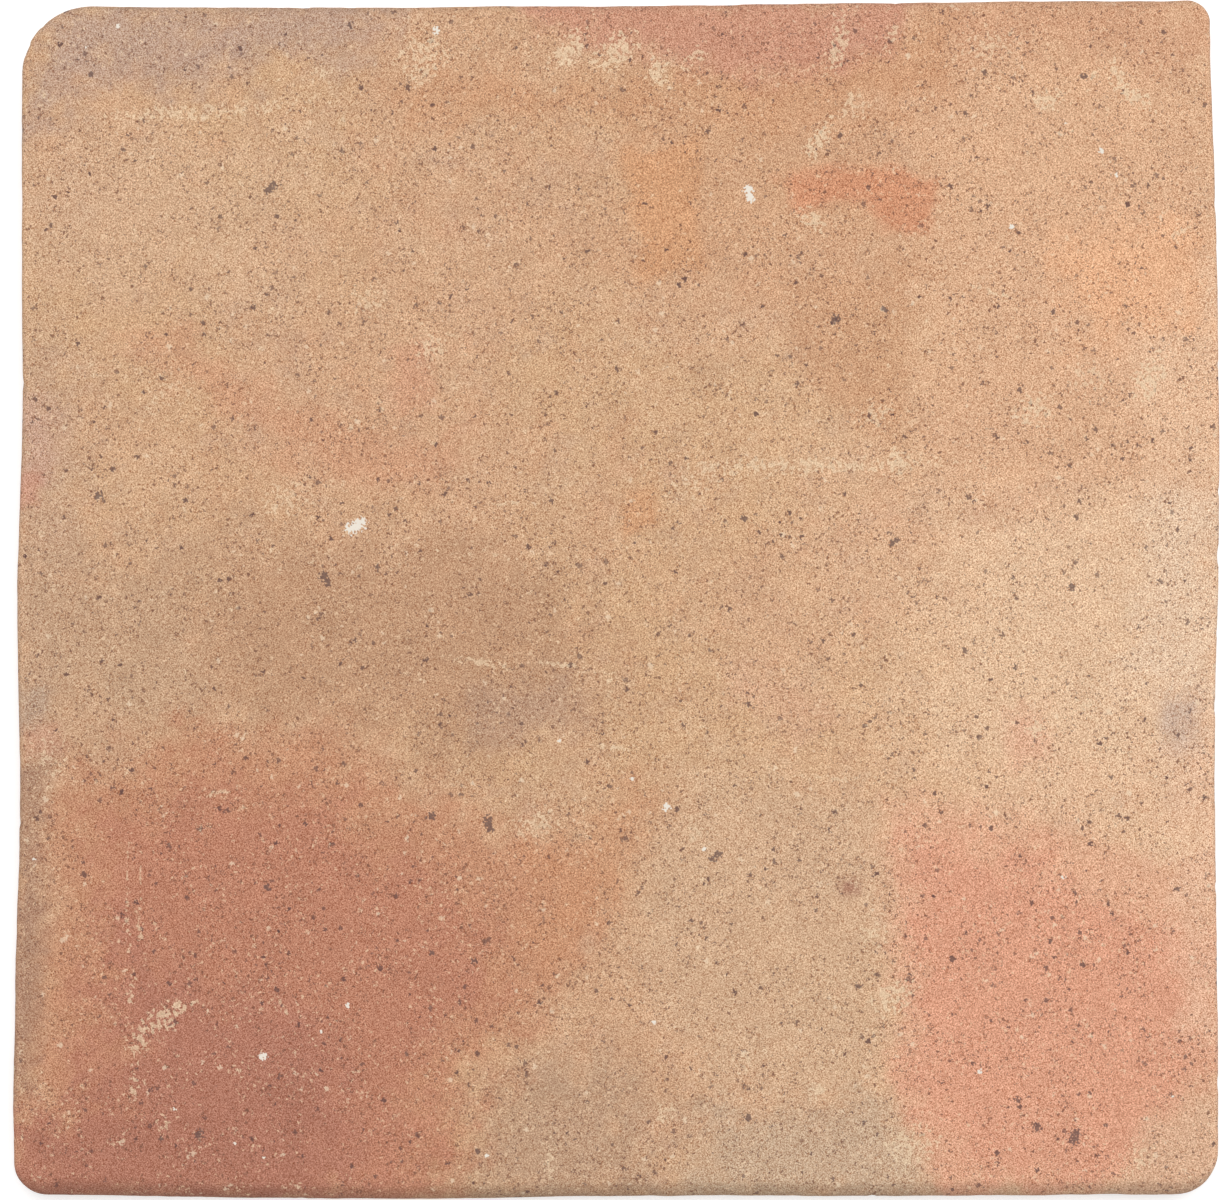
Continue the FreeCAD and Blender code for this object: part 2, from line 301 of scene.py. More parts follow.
# White lime flecks: middle x and y, and radius in mm
FLECKS = (
    (-66.2, 17.8, 1.5), (-64.8, 18.4, 1.5), (-63.4, 19.2, 1.5),
    (33, 102.2, 1.3), (33.3, 100.2, 1.3), (12.7, -51.5, 1.1), (-88, -113.7, 1.1), (-44.7, 142, 1.0),
    (121, 112, 0.8), (98.5, 93, 0.7), (22, -62, 0.7), (-67, -101, 0.7), (-145, -64.5, 0.6), (4, -44.5, 0.6),
    (124.7, 106, 0.6), (-14, -35, 0.6), (112, 118.8, 0.6), (-132, 137.7, 0.6), (-124, 143, 0.6),
    (9.5, -105.3, 0.6), (-32.3, -138.5, 0.6), (90.8, -117.5, 0.7), (111.3, -69, 0.7), (138.8, -123.8, 0.6),
    (-73.5, -107.5, 0.6), (-95, -135.5, 0.6), (-88, -139, 0.6), (-110, -126.7, 0.6),
)

# Large dark grains of burnt iron, in the same way
GRAINS = (
    (-32, -55, 1.3), (-31.6, -57, 1.2), (-73, 6, 1.3), (-72, 4.4, 1.0), (24, -64.5, 1.0),
    (25.6, -63.3, 1.0), (-104, -133, 1.4), (114, -134.5, 1.5), (114.8, -132.6, 1.1), (-46, -54, 1.1),
    (32, 20.5, 1.0), (33, -129, 1.0), (54.5, 70, 1.4), (67, 72.3, 1.0), (-87, -71.5, 1.0), (-59.5, 8, 0.9),
    (-129, 26, 1.2), (-85.2, 103.4, 1.1), (-86.8, 101.8, 0.9), (-130.8, 131, 0.9), (-66.3, 143.3, 0.9),
    (109, 71.8, 0.8),
    (116.5, 130.5, 0.9), (68.5, 14, 0.9), (70, 14.8, 0.8), (113.5, 3.2, 1.0), (105, -131.3, 1.1),
    (100, -124.5, 0.9), (60.5, -96, 0.9), (139.8, -72, 0.9), (-35.3, -89.8, 0.9), (-34.5, -137.3, 0.9),
    (-46, -88, 0.8), (54.5, 138, 0.7),
)

# Ragged edge of a fleck or grain, where each one's edge starts and is full, and a grain's cover
MARK_RAGGED = 2.2
FLECK_EDGE = (1.1, 0.8)
GRAIN_EDGE = (1.1, 0.75)
GRAIN_COVER = 0.80

# Shares of a mark's half size: where a point is clear of it, how fast the way then grows, and out of reach
CLEAR_FROM = 1.4
CLEAR_RISE = 4.0
OUT_OF_REACH = 9.0

# Where the specks are sparse and where they are crowded, in the noise of their clouds
CROWDING_RANGE = (-0.7, 0.8)
# Scattered specks: size of a cell, radius of the smallest and the largest in mm, how rare the large
# ones are, share of cells that hold one, share of specks that are dark, and the dark and pale colours
SPECKS = {
    "fine": (0.85, 0.12, 0.34, 1.0, 0.80, 0.64, (122, 82, 66), (246, 214, 178)),
    "coarse": (1.70, 0.14, 0.66, 2.8, 0.52, 0.74, (99, 71, 68), (246, 222, 192)),
}
# Cover of the strongest and the faintest speck
SPECK_STRENGTH = (0.88, 0.48)
# Width of a speck's edge in cells, and how far the specks are shaken out of shape
SPECK_EDGE = 0.1
SPECK_SHAKE = 1.2 * MM

# Turn of the noise in the clay, so that no row of it lies along the tile's sides
NOISE_TURN = (0.5, 0.3, 0.9)
# Size of the coloured noise that pushes marks about, and its middle
PUSH_SIZE = 0.6 * MM
PUSH_MIDDLE = (0.5, 0.5, 0.5)

# Sand grain: size, the noise at which it is darkest and palest, and how it darkens and lightens the clay
GRAIN_SIZE = 0.31 * MM
GRAIN_RANGE = (0.25, 0.75)
GRAIN_DARK = (0.50, 0.27, 0.14)
GRAIN_PALE = (1.50, 1.73, 1.86)
# Roughness of the clay over the range of the grain, and its gloss
ROUGH_RANGE = (0.2, 0.8)
ROUGHNESS = (0.98, 0.84)
GLOSS = 0.25
# Sand between the grains: size, height of its bumps and their strength
SAND_SIZE = 1.1 * MM
SAND_HEIGHT = 0.15 * MM
SAND_STRENGTH = 0.6

# Floor: share of light that it returns, roughness, and the glow that makes it white where it shows
FLOOR_GREY = 0.8
FLOOR_ROUGHNESS = 0.9
FLOOR_GLOW = 0.4

# Strength of the surroundings as light on the tile, and where they show
WORLD_LIGHT = 0.28
WORLD_SHOWN = 1.0
# Place, side and power of the lamp
KEY_PLACE = (0.10, 0.40, 2.50)
KEY_SIZE = 1.2
KEY_POWER = 48.0

# Camera: width and middle of the picture at the height of the tile's outline, and the lens and sensor
PICTURE_WIDTH = 305 * MM
PICTURE_MIDDLE = (-1.5 * MM, 0.0)
SILHOUETTE_HEIGHT = 16.5 * MM
LENS = 120.0
SENSOR = 36.0


def linear(colour):
    """A screen colour of 0 to 255 as linear light."""
    share = np.asarray(colour, float) / 255
    return np.where(share <= 0.04045, share / 12.92, ((share + 0.055) / 1.055) ** 2.4)


def rgba(colour):
    """A screen colour as the four numbers that a colour socket takes."""
    return (*linear(colour).tolist(), 1.0)


def smooth_step(low, high, value):
    """0 below low, 1 above high and a soft rise between them."""
    share = np.clip((value - low) / (high - low), 0, 1)
    return share * share * (3 - 2 * share)


def clouds(points, size, steps, seed, calm=1.0):
    """Soft noise of about -1 to 1 at each point, with clouds of that size in mm.

    Finer steps add detail within a cloud, and less calm clouds are more ragged.
    """
    scale = size * MM
    shift = SEED_SHIFT * (seed + 1)
    return np.array([noise.fractal(Vector(p) / scale + shift, calm, STEP_FINENESS, steps) for p in points])


# Skin

def solid_tree():
    """The solid's surface, to measure it with rays."""
    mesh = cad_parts[NODE].data
    return BVHTree.FromPolygons([v.co for v in mesh.vertices], [tuple(p.vertices) for p in mesh.polygons])


def square_rim(cells):
    """Points round the square from -1 to 1, counter-clockwise from its front left corner."""
    steps = np.linspace(-1, 1, cells, endpoint=False)
    front = np.stack((steps, -np.ones(cells)), 1)
    right = np.stack((np.ones(cells), steps), 1)
    return np.concatenate((front, right, -front, -right))


def rim_numbers(cells):
    """Numbers of a square grid's edge points, in the order of square_rim."""
    grid = np.arange((cells + 1) ** 2).reshape(cells + 1, cells + 1)
    return np.concatenate((grid[0, :-1], grid[:-1, -1], grid[-1, :0:-1], grid[:0:-1, 0]))


def fill_grid(ring, cells, height):
    """A square grid of points drawn out to fill a ring of points, at one height."""
    steps = np.linspace(-1, 1, cells + 1)
    u, v = (side.ravel() for side in np.meshgrid(steps, steps))
    reach = np.maximum(abs(u), abs(v))
    outer = np.where(reach > 0, reach, 1)
    across, upward = u / outer, v / outer
    edge = 1 - 1e-9
    run = np.select(
        [upward <= -edge, across >= edge, upward >= edge, across <= -edge],
        [(across + 1) / 2, 1 + (upward + 1) / 2, 2 + (1 - across) / 2, 3 + (1 - upward) / 2],
    )
    places = np.arange(len(ring)) / cells
    x, y = (reach * np.interp(run, places, ring[:, axis], period=4) for axis in (0, 1))
    return np.stack((x, y, np.full_like(x, height)), 1)


def wall_outline(tree):
    """Where the walls stand at half the thickness, and how far a unit of inset moves in from them."""
    points = []
    for u, v in square_rim(FACE_CELLS):
        outward = Vector((u, v, 0))
        hit = tree.ray_cast(outward * FAR + Vector((0, 0, MIDDLE)), -outward)[0]
        points.append(hit[:2])
    points = np.array(points)
    along = np.roll(points, -1, axis=0) - np.roll(points, 1, axis=0)
    normal = np.stack((along[:, 1], -along[:, 0]), 1) / np.hypot(along[:, 0], along[:, 1])[:, None]
    slope = (points * normal).sum(1) / abs(points).max(1)
    return points, slope


def inset_ring(outline, inset, height):
    """The outline drawn in by some distance, at some height."""
    points, slope = outline
    scale = 1 - inset / (slope * abs(points).max(1))
    return np.column_stack((points * scale[:, None], np.broadcast_to(height, len(points))))


def edge_radius(tree, outline, upward):
    """Radius of the rounded edge round the face (upward 1) or the underside (upward -1)."""
    level = TOP if upward > 0 else BOTTOM
    drops = []
    for x, y, z in inset_ring(outline, np.full(len(outline[0]), PROBE), level + upward * FAR):
        hit = tree.ray_cast(Vector((x, y, z)), Vector((0, 0, -upward)))[0]
        drops.append(abs(level - hit.z))
    drops = np.array(drops)
    return drops + PROBE + np.sqrt(2 * drops * PROBE)


def skin_rings(tree):
    """Rings of points from the edge of the face down the wall to the edge of the underside."""
    outline = wall_outline(tree)
    face_round = edge_radius(tree, outline, 1)
    bed_round = edge_radius(tree, outline, -1)
    rings = []
    for angle in np.linspace(math.pi / 2, 0, ARRIS_STEPS + 1):
        height = TOP - face_round * (1 - math.sin(angle))
        rings.append(inset_ring(outline, face_round * (1 - math.cos(angle)), height))
    for share in np.linspace(0, 1, WALL_STEPS + 1)[1:]:
        height = (1 - share) * (TOP - face_round) + share * (BOTTOM + bed_round)
        rings.append(inset_ring(outline, 0 * height, height))
    for angle in np.linspace(0, math.pi / 2, BED_STEPS + 1)[1:]:
        height = BOTTOM + bed_round * (1 - math.sin(angle))
        rings.append(inset_ring(outline, bed_round * (1 - math.cos(angle)), height))
    coarse = [inset_ring(outline, bed_round + inset, BOTTOM) for inset in BED_RINGS]
    return rings, coarse


def ring_quads(upper, lower):
    """Faces between two rings of as many points."""
    return np.stack((lower, np.roll(lower, -1), np.roll(upper, -1), upper), 1)


def halving_faces(upper, lower):
    """Faces between a ring and the next one with half as many points."""
    here, halfway, there = upper[0::2], upper[1::2], np.roll(upper[0::2], -1)
    following = np.roll(lower, -1)
    return np.concatenate((
        np.stack((lower, halfway, here), 1),
        np.stack((lower, following, halfway), 1),
        np.stack((following, there, halfway), 1),
    ))


def grid_quads(cells):
    """Faces of a square grid of points, seen from above."""
    grid = np.arange((cells + 1) ** 2).reshape(cells + 1, cells + 1)
    quads = np.stack((grid[:-1, :-1], grid[:-1, 1:], grid[1:, 1:], grid[1:, :-1]), -1)
    return quads.reshape(-1, 4)


def map_spot(pixels):
    """Pixels of the flat map as its own coordinates."""
    return np.asarray(pixels, float) / MAP_PIXELS


def plan_map(points, start, size):
    """Places of points on a square of the flat map that shows the tile in plan."""
    share = points[..., :2] / (2 * HALF_WIDTH) + 0.5
    return map_spot(np.asarray(start) + share * size)


def wall_map(first, last, steps):
    """Places of the faces between two rings on the four strips of the flat map that show the walls."""
    count = 4 * FACE_CELLS
    side = np.arange(count) // FACE_CELLS
    along = np.arange(count) % FACE_CELLS / FACE_CELLS
    across = MAP_WALL_START + side * MAP_WALL_PITCH
    near, far = (MAP_MARGIN + (along + step / FACE_CELLS) * MAP_FACE for step in (0, 1))
    high, low = (across + MAP_WALL_WIDTH * place / steps for place in (first, last))
    corners = ((low, near), (low, far), (high, far), (high, near))
    return map_spot(np.stack([np.stack(corner, 1) for corner in corners], 1))


def build_skin():
    """The skin as one closed mesh on the solid's own surface, with its flat map."""
    rings, coarse = skin_rings(solid_tree())
    face = fill_grid(rings[0], FACE_CELLS, TOP)
    bed = fill_grid(coarse[1][::4], BED_CELLS, BOTTOM)
    points = [face, *rings[1:], coarse[0][::2], bed]
    starts = np.cumsum([0] + [len(group) for group in points])
    numbers = [rim_numbers(FACE_CELLS)]
    numbers += [start + np.arange(len(ring)) for start, ring in zip(starts[1:], rings[1:])]
    points = np.concatenate(points)

    face_map = ((MAP_MARGIN, MAP_MARGIN), MAP_FACE)
    bed_map = ((MAP_MARGIN, MAP_BED_START), MAP_BED)
    faces = [grid_quads(FACE_CELLS)]
    places = [plan_map(points[faces[0]], *face_map)]
    # The upper half of the rounded edge lies with the face on the flat map, and the rest with the walls
    plan_rings = ARRIS_STEPS // 2
    wall_end = ARRIS_STEPS + WALL_STEPS + BED_STEPS
    for index in range(wall_end):
        quads = ring_quads(numbers[index], numbers[index + 1])
        faces.append(quads)
        if index < plan_rings:
            places.append(plan_map(points[quads], *face_map))
        else:
            places.append(wall_map(index - plan_rings, index + 1 - plan_rings, wall_end - plan_rings))
    middle_ring = starts[-3] + np.arange(len(coarse[0]) // 2)
    bed_rim = starts[-2] + rim_numbers(BED_CELLS)
    faces.append(halving_faces(numbers[-1], middle_ring))
    faces.append(halving_faces(middle_ring, bed_rim))
    faces.append(starts[-2] + grid_quads(BED_CELLS)[:, ::-1])
    places += [plan_map(points[group], *bed_map) for group in faces[-3:]]

    mesh = bpy.data.meshes.new(SLOT)
    mesh.from_pydata(points.tolist(), [], [face for group in faces for face in group.tolist()])
    flat_map = mesh.uv_layers.new(name=BAKE_MAP)
    flat_map.data.foreach_set("uv", np.concatenate([group.ravel() for group in places]))
    mesh.shade_smooth()
    return mesh, points


def relief(points, normals):
    """How far each point of the skin stands out of the solid, which is inwards on the face."""
    upward = np.clip(normals[:, 2], 0, 1)
    downward = np.clip(-normals[:, 2], 0, 1)
    sideways = 1 - upward - downward
    rounded = 4 * upward * (1 - upward)
    pits = PIT_DEPTH * smooth_step(*PIT_RANGE, clouds(points, *CLOUDS["pits"]))
    sand = SAND_ROUGH * clouds(points, *CLOUDS["sand"])
    face = SLOW_WAVE * clouds(points, *CLOUDS["waves"]) + HAND_DENT * clouds(points, *CLOUDS["dents"])
    face -= face.max()
    wear = WORN_EDGE * clouds(points, *CLOUDS["wear"])
    drags = DRAG_LINE * clouds(points * (1, 1, DRAG_CLOSENESS), *CLOUDS["drags"])
    bed = BED_ROUGH * (clouds(points, *CLOUDS["bed"]) - 1)
    return upward * (face - pits) + sideways * (drags - pits) + downward * bed + rounded * wear + sand


def signed_distance(points, corners):
    """Distance of points from the outline through some corners, negative inside it."""
    starts = np.array(corners, float)
    nearest = np.full(len(points), np.inf)
    inside = np.zeros(len(points), bool)
    for start, end in zip(starts, np.roll(starts, -1, axis=0)):
        along = end - start
        offset = points - start
        share = np.clip(offset @ along / (along @ along), 0, 1)
        gap = offset - share[:, None] * along
        nearest = np.minimum(nearest, np.hypot(gap[:, 0], gap[:, 1]))
        crosses = (start[1] > points[:, 1]) != (end[1] > points[:, 1])
        upward = along[1] if along[1] else 1
        inside ^= crosses & (points[:, 0] < start[0] + offset[:, 1] * along[0] / upward)
    return np.where(inside, -nearest, nearest)


def spread(points):
    """The plain clay, painted paler towards the right where more light falls, with random firing clouds
    over it.
    """
    # Painted light: the clay is painted paler towards the right
    turn = smooth_step(LIGHT_TURN_START, LIGHT_TURN_END, points[:, 0] / MM)[:, None]
    colour = (1 - turn) * linear(LEFT_CLAY) + turn * linear(LIT_RIGHT_CLAY)
    share = smooth_step(*HUE_RANGE, clouds(points * HUE_STRETCH, *CLOUDS["hue"]))[:, None]
    clouded = share * linear(YELLOW_CLAY) + (1 - share) * linear(PINK_CLAY)
    colour *= clouded / ((linear(YELLOW_CLAY) + linear(PINK_CLAY)) / 2)
    for seed, (size, veil_colour, strength) in enumerate(VEILS, VEIL_SEED):
        veil = clouds(points, size, VEIL_STEPS, seed, VEIL_CALM)
        cover = strength * smooth_step(*VEIL_RANGE, veil)[:, None]
        colour = (1 - cover) * colour + cover * linear(veil_colour)
    return colour


def tint(points, normals):
    """Firing colour of the clay at each point of the skin, with painted light and shade on its rim and
    towards the right, as linear light.
    """
    plan = points[:, :2] / MM
    colour = spread(points)
    push = np.stack([clouds(points, *CLOUDS[name]) for name in ("border_x", "border_y")], 1)
    fray = clouds(points, *CLOUDS["fray"])
    for patch_colour, strength, softness, corners in PATCHES.values():
        pushed = plan + BORDER_RAGGED * softness * push
        distance = signed_distance(pushed, corners) + BORDER_FRAYED * softness * fray
        cover = strength * smooth_step(softness, -softness, distance)[:, None]
        colour = (1 - cover) * colour + cover * linear(patch_colour)
    for seed, (size, strength) in enumerate(MOTTLES, MOTTLE_SEED):
        colour *= 1 + strength * clouds(points, size, MOTTLE_STEPS, seed)[:, None]
    # Painted light and shade: the rim is painted paler along the left and right sides and darker along the
    # front
    rim = smooth_step(*RIM_FACING, normals[:, 2])
    side_light_paint = PAINTED_SIDE_LIGHT * rim * smooth_step(*RIM_LEAN, abs(normals[:, 0]))
    front_shade_paint = PAINTED_FRONT_SHADE * rim * smooth_step(*RIM_LEAN, -normals[:, 1])
    colour *= (1 + side_light_paint - front_shade_paint)[:, None]
    hidden = smooth_step(*HIDDEN_FACING, normals[:, 2])[:, None] * HIDDEN_SHARE
    return (1 - hidden) * colour + hidden * linear(INNER_CLAY)


def way_to_nearest(points, marks):
    """The way from the nearest mark to each point of the face, in that mark's half sizes, and its strength.

    It changes evenly from point to point round a mark, so a mark may be finer than the skin. The third
    number grows once the point is clear of the mark, and keeps ways to two marks from meeting at nothing.
    """
    nearest = np.full(len(points), np.inf)
    ways = np.zeros((len(points), 3))
    strengths = np.zeros(len(points))
    for x, y, half_length, half_width, turn, strength in marks:
        angle = math.radians(turn)
        along = np.array((math.cos(angle), math.sin(angle)))
        across = np.array((-along[1], along[0]))
        offset = points[:, :2] / MM - (x, y)
        way = np.stack((offset @ along / half_length, offset @ across / half_width), 1)
        reach = np.hypot(way[:, 0], way[:, 1])
        closer = reach < nearest
        nearest[closer] = reach[closer]
        ways[closer, :2] = way[closer]
        strengths[closer] = strength
    nearest[points[:, 2] < MIDDLE] = OUT_OF_REACH
    ways[:, 2] = CLEAR_RISE * np.maximum(nearest - CLEAR_FROM, 0)
    return ways, strengths


def round_marks(marks):
    """Marks with one radius, in the form of smears."""
    return [(x, y, radius, radius, 0, 1) for x, y, radius in marks]


def colour_skin(mesh, points, normals):
    """Lays the firing colour, with its painted light and shade, on the skin."""
    colours = np.column_stack((tint(points, normals), np.ones(len(points))))
    layer = mesh.color_attributes.new(TINT_WITH_PAINTED_LIGHT, "FLOAT_COLOR", "POINT")
    layer.data.foreach_set("color", colours.ravel())


def mark_skin(mesh, points):
    """Gives each point of the skin its crowding of specks, strewn sand and way to the nearest marks."""
    crowding = smooth_step(*CROWDING_RANGE, clouds(points, *CLOUDS["crowding"]))
    strewn = STREWN_AMOUNT * smooth_step(*STREWN_RANGE, clouds(points, *CLOUDS["strewn"]))
    smear_ways, smear_strengths = way_to_nearest(points, SMEARS)
    fleck_ways, grain_ways = (way_to_nearest(points, round_marks(marks))[0] for marks in (FLECKS, GRAINS))
    for name, values in ((CROWDING, crowding), (STREWN, strewn), (SMEAR_STRENGTH, smear_strengths)):
        mesh.attributes.new(name, "FLOAT", "POINT").data.foreach_set("value", values)
    for name, ways in ((SMEAR_WAY, smear_ways), (FLECK_WAY, fleck_ways), (GRAIN_WAY, grain_ways)):
        mesh.attributes.new(name, "FLOAT_VECTOR", "POINT").data.foreach_set("vector", ways.ravel())


def make_tile():
    """The tile's visible piece: the skin with its relief, firing colour with painted light and shade, and
    clay.
    """
    mesh, points = build_skin()
    normals = np.zeros(len(points) * 3)
    mesh.vertices.foreach_get("normal", normals)
    normals = normals.reshape(-1, 3)
    colour_skin(mesh, points, normals)
    mark_skin(mesh, points)
    shaped = points + normals * relief(points, normals)[:, None]
    shaped[:, 2] = np.clip(shaped[:, 2], BOTTOM, TOP)
    mesh.vertices.foreach_set("co", shaped.ravel())
    mesh.update()
    mesh.materials.append(fired_clay())
    tile = bpy.data.objects.new("tile", mesh)
    bpy.context.scene.collection.objects.link(tile)
    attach(tile, BODY)
    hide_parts(NODE)


# Nodes

def add(tree, kind, inputs=None, **settings):
    """A node with its settings and its inputs, each of them a value or another node's output."""
    made = tree.nodes.new(kind)
    for name, value in settings.items():
        setattr(made, name, value)
    for key, value in (inputs or {}).items():
        if isinstance(value, bpy.types.NodeSocket):
            tree.links.new(value, made.inputs[key])
        else:
            made.inputs[key].default_value = value
    return made


def calc(tree, operation, first, second=0.0):
    """A sum on one or two numbers."""
    return add(tree, "ShaderNodeMath", {0: first, 1: second}, operation=operation).outputs[0]


def rise(tree, value, low, high, first=0.0, last=1.0):
    """A soft rise from the first to the last number as a value goes from low to high."""
    inputs = {"Value": value, "From Min": low, "From Max": high, "To Min": first, "To Max": last}
    return add(tree, "ShaderNodeMapRange", inputs, interpolation_type="SMOOTHSTEP").outputs["Result"]


def between(tree, share, low, high):
    """The number that lies at some share of the way from low to high."""
    inputs = {0: share, 1: high - low, 2: low}
    return add(tree, "ShaderNodeMath", inputs, operation="MULTIPLY_ADD").outputs[0]


def carried(tree, name, output="Fac"):
    """What the skin carries under a name."""
    return add(tree, "ShaderNodeAttribute", attribute_name=name).outputs[output]


def mix(tree, share, first, second, blend="MIX"):
    """A blend of two colours."""
    inputs = {"Factor": share, 6: first, 7: second}
    return add(tree, "ShaderNodeMix", inputs, data_type="RGBA", blend_type=blend).outputs[2]


def cloud(tree, place, size, detail, output="Fac"):
    """Noise of about 0.5 with clouds of that size."""
    inputs = {"Vector": place, "Scale": 1 / size, "Detail": detail}
    return add(tree, "ShaderNodeTexNoise", inputs).outputs[output]


def shaken(tree, place, push, reach):
    """A place pushed about by coloured noise."""
    inputs = {0: push, 1: PUSH_MIDDLE}
    centred = add(tree, "ShaderNodeVectorMath", inputs, operation="SUBTRACT").outputs[0]
    inputs = {0: centred, 1: (reach, reach, reach), 2: place}
    return add(tree, "ShaderNodeVectorMath", inputs, operation="MULTIPLY_ADD").outputs[0]


def mark_reach(tree, name, push, raggedness):
    """How far off the nearest mark is: 0 at its middle and about 1 at its ragged edge."""
    ragged = shaken(tree, carried(tree, name, "Vector"), push, raggedness)
    return add(tree, "ShaderNodeVectorMath", {0: ragged}, operation="LENGTH").outputs["Value"]


def broken(tree, value, sand, sand_share, grain, grain_share):
    """A value broken up by sand and grain: a share lifts it where they are low, or high if negative."""
    value = calc(tree, "ADD", value, between(tree, sand, sand_share, -sand_share))
    return calc(tree, "ADD", value, between(tree, grain, grain_share, -grain_share))


def add_specks(tree, place, crowding, colour, layer):
    """Scatters dark and pale specks over a colour, one in a share of the cells, each of its own radius."""
    cell, smallest, largest, rarity, share, dark_share, dark, pale = layer
    # Each layer starts from a place of its own
    shifted = add(tree, "ShaderNodeVectorMath", {0: place, 1: (cell, 2 * cell, 3 * cell)}).outputs[0]
    inputs = {"Vector": shifted, "Scale": 1 / (cell * MM), "Randomness": 1.0}
    scatter = add(tree, "ShaderNodeTexVoronoi", inputs, feature="F1", distance="CHEBYCHEV")
    size_draw, held_draw, kind_draw = add(
        tree, "ShaderNodeSeparateColor", {0: scatter.outputs["Color"]}
    ).outputs
    radius = between(tree, calc(tree, "POWER", size_draw, rarity), smallest / cell, largest / cell)
    depth = calc(tree, "SUBTRACT", radius, scatter.outputs["Distance"])
    # The crowding is about a half on average
    held = calc(tree, "LESS_THAN", held_draw, calc(tree, "MULTIPLY", crowding, 2 * share))
    strength = calc(tree, "MULTIPLY", held, between(tree, kind_draw, *SPECK_STRENGTH))
    cover = calc(tree, "MULTIPLY", rise(tree, depth, 0.0, SPECK_EDGE), strength)
    is_dark = calc(tree, "LESS_THAN", kind_draw, dark_share)
    return mix(tree, cover, colour, mix(tree, is_dark, rgba(pale), rgba(dark)))


def grain_tone(tree, grain):
    """How the sand grain darkens and lightens the clay."""
    low, high = GRAIN_RANGE
    inputs = {"Value": grain, "From Min": low, "From Max": high}
    share = add(tree, "ShaderNodeMapRange", inputs).outputs["Result"]
    return mix(tree, share, (*GRAIN_DARK, 1), (*GRAIN_PALE, 1))


def smear_cover(tree, push, sand, grain):
    """How far the smears cover the clay: islands that grow sparse and faint where a smear is weak."""
    strength = carried(tree, SMEAR_STRENGTH)
    reach = mark_reach(tree, SMEAR_WAY, push, SMEAR_RAGGED)
    reach = broken(tree, reach, sand, SMEAR_SAND, grain, SMEAR_GRAIN)
    reach = calc(tree, "ADD", reach, between(tree, strength, *SMEAR_DRAWN_IN))
    return calc(tree, "MULTIPLY", rise(tree, reach, *SMEAR_EDGE), between(tree, strength, *SMEAR_COVER))


def strewn_cover(tree, sand, grain):
    """How far the strewn sand covers the clay."""
    strewn = broken(tree, carried(tree, STREWN), sand, -STREWN_SAND, grain, -STREWN_GRAIN)
    return rise(tree, strewn, *STREWN_EDGE, 0.0, STREWN_COVER)


def clay_colour(tree, place, sand, grain):
    """Colour of the clay: firing colour with painted light and shade, sand grain, specks, smears, strewn
    sand, flecks and grains.
    """
    push = cloud(tree, place, PUSH_SIZE, 0.0, "Color")
    tone = grain_tone(tree, grain)
    colour = mix(tree, 1.0, carried(tree, TINT_WITH_PAINTED_LIGHT, "Color"), tone, "MULTIPLY")
    shaky = shaken(tree, place, push, SPECK_SHAKE)
    crowding = carried(tree, CROWDING)
    for layer in SPECKS.values():
        colour = add_specks(tree, shaky, crowding, colour, layer)
    pale = calc(tree, "MAXIMUM", smear_cover(tree, push, sand, grain), strewn_cover(tree, sand, grain))
    colour = mix(tree, pale, colour, mix(tree, SMEAR_TONE, rgba(CREAM), tone, "MULTIPLY"))
    flecks = rise(tree, mark_reach(tree, FLECK_WAY, push, MARK_RAGGED), *FLECK_EDGE)
    colour = mix(tree, flecks, colour, rgba(LIME_WHITE))
    grains = rise(tree, mark_reach(tree, GRAIN_WAY, push, MARK_RAGGED), *GRAIN_EDGE, 0.0, GRAIN_COVER)
    return mix(tree, grains, colour, rgba(IRON_GREY))


def fired_clay():
    """Unglazed fired clay: its colour, matt sandy roughness and the bumps of its sand."""
    material = bpy.data.materials.new(SLOT)
    material.use_nodes = True
    tree = material.node_tree
    shader = tree.nodes["Principled BSDF"]
    square = add(tree, "ShaderNodeTexCoord").outputs["Object"]
    place = add(tree, "ShaderNodeMapping", {"Vector": square, "Rotation": NOISE_TURN}).outputs[0]
    sand = cloud(tree, place, SAND_SIZE, 0.0)
    grain = cloud(tree, place, GRAIN_SIZE, 1.0)
    bump = add(tree, "ShaderNodeBump", {"Height": sand, "Strength": SAND_STRENGTH, "Distance": SAND_HEIGHT})
    links = {
        "Base Color": clay_colour(tree, place, sand, grain),
        "Roughness": rise(tree, grain, *ROUGH_RANGE, *ROUGHNESS),
        "Normal": bump.outputs[0],
    }
    for name, socket in links.items():
        tree.links.new(socket, shader.inputs[name])
    shader.inputs["Specular IOR Level"].default_value = GLOSS
    return material


# Surroundings

def seen_rays(tree):
    """1 for rays that show the surroundings: to the camera, in a gloss or through glass."""
    path = add(tree, "ShaderNodeLightPath").outputs
    seen = calc(tree, "MAXIMUM", path["Is Camera Ray"], path["Is Glossy Ray"])
    return calc(tree, "MAXIMUM", seen, path["Is Transmission Ray"])


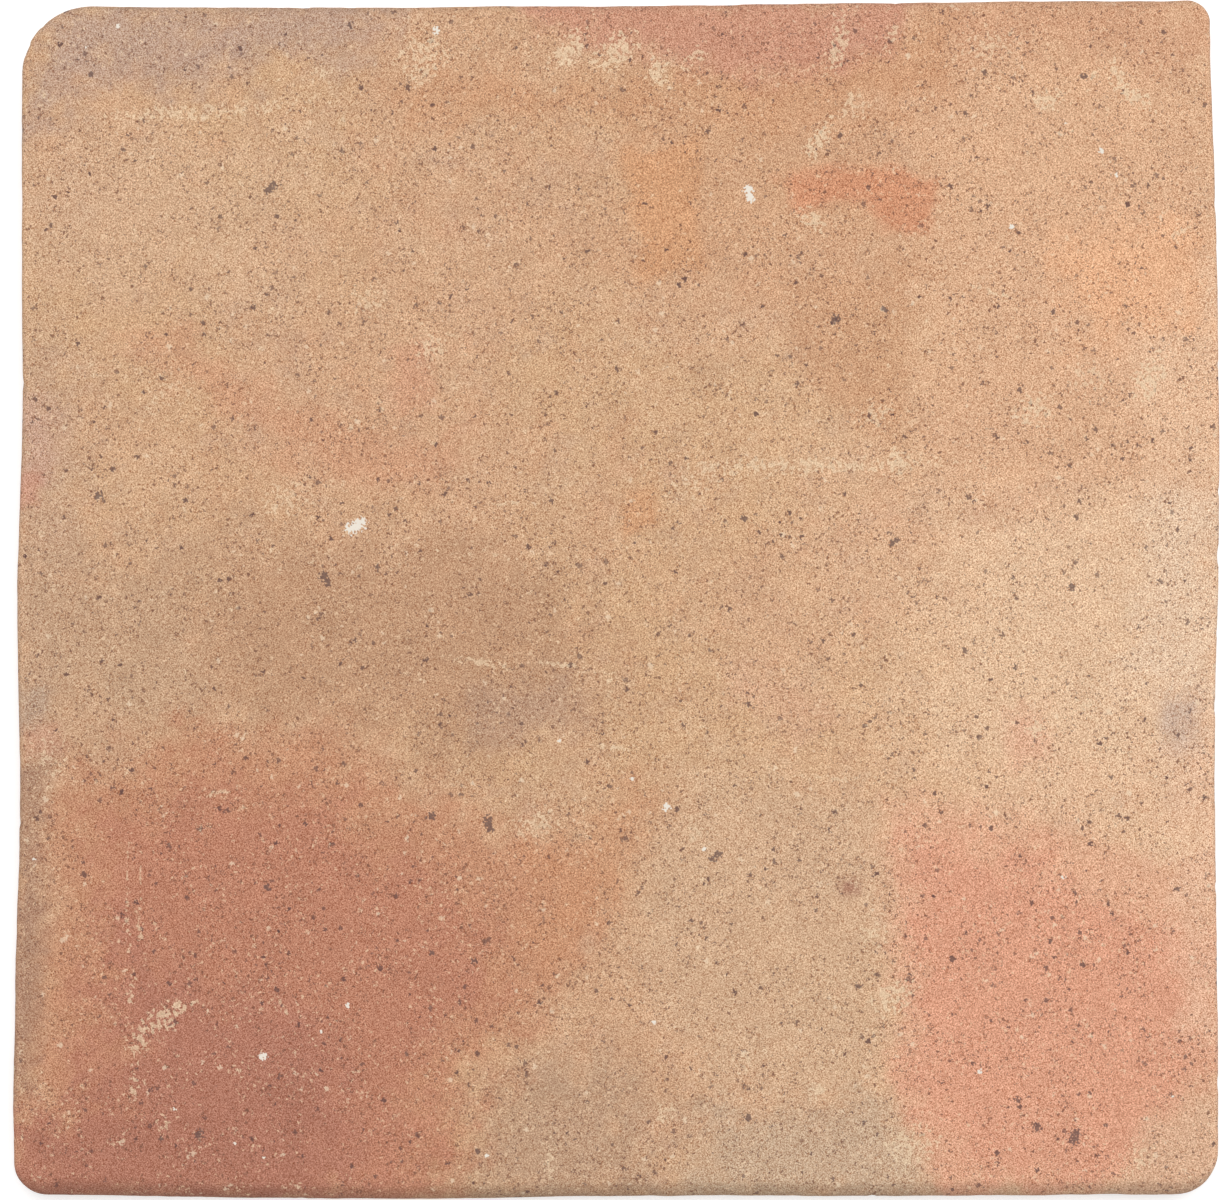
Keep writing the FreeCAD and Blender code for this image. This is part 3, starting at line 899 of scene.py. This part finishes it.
def make_floor():
    """A plain white floor that keeps the tile's shadow and shows white to the camera."""
    material = bpy.data.materials.new("floor")
    material.use_nodes = True
    tree = material.node_tree
    shader = tree.nodes["Principled BSDF"]
    shader.inputs["Base Color"].default_value = (FLOOR_GREY, FLOOR_GREY, FLOOR_GREY, 1)
    shader.inputs["Roughness"].default_value = FLOOR_ROUGHNESS
    glow = calc(tree, "MULTIPLY", seen_rays(tree), FLOOR_GLOW)
    tree.links.new(glow, shader.inputs["Emission Strength"])
    shader.inputs["Emission Color"].default_value = (1, 1, 1, 1)
    mesh = bpy.data.meshes.new("floor")
    corners = [(x * FAR, y * FAR, BOTTOM) for x, y in ((-1, -1), (1, -1), (1, 1), (-1, 1))]
    mesh.from_pydata(corners, [], [(0, 1, 2, 3)])
    mesh.materials.append(material)
    floor = bpy.data.objects.new("floor", mesh)
    bpy.context.scene.collection.objects.link(floor)


def make_lamp():
    """A soft square lamp above the tile, a little to the back right, that shines at its middle."""
    data = bpy.data.lights.new("key", "AREA")
    data.size = KEY_SIZE
    data.energy = KEY_POWER
    lamp = bpy.data.objects.new("key", data)
    lamp.location = KEY_PLACE
    lamp.rotation_euler = (-Vector(KEY_PLACE)).to_track_quat("-Z", "Y").to_euler()
    lamp.visible_camera = False
    bpy.context.scene.collection.objects.link(lamp)


def make_world():
    """White surroundings that light the tile softly from all round."""
    world = bpy.data.worlds.new("studio")
    bpy.context.scene.world = world
    world.use_nodes = True
    tree = world.node_tree
    strength = between(tree, seen_rays(tree), WORLD_LIGHT, WORLD_SHOWN)
    background = tree.nodes["Background"]
    background.inputs["Color"].default_value = (1, 1, 1, 1)
    tree.links.new(strength, background.inputs["Strength"])


def make_camera():
    """The camera straight above the tile, with the back of the tile at the top of the picture."""
    data = bpy.data.cameras.new("camera")
    data.lens = LENS
    data.sensor_width = SENSOR
    camera = bpy.data.objects.new("camera", data)
    camera.location = (*PICTURE_MIDDLE, SILHOUETTE_HEIGHT + PICTURE_WIDTH * LENS / SENSOR)
    bpy.context.scene.collection.objects.link(camera)
    bpy.context.scene.camera = camera


bpy.context.scene.view_settings.view_transform = "Standard"
make_tile()
make_floor()
make_world()
make_lamp()
make_camera()
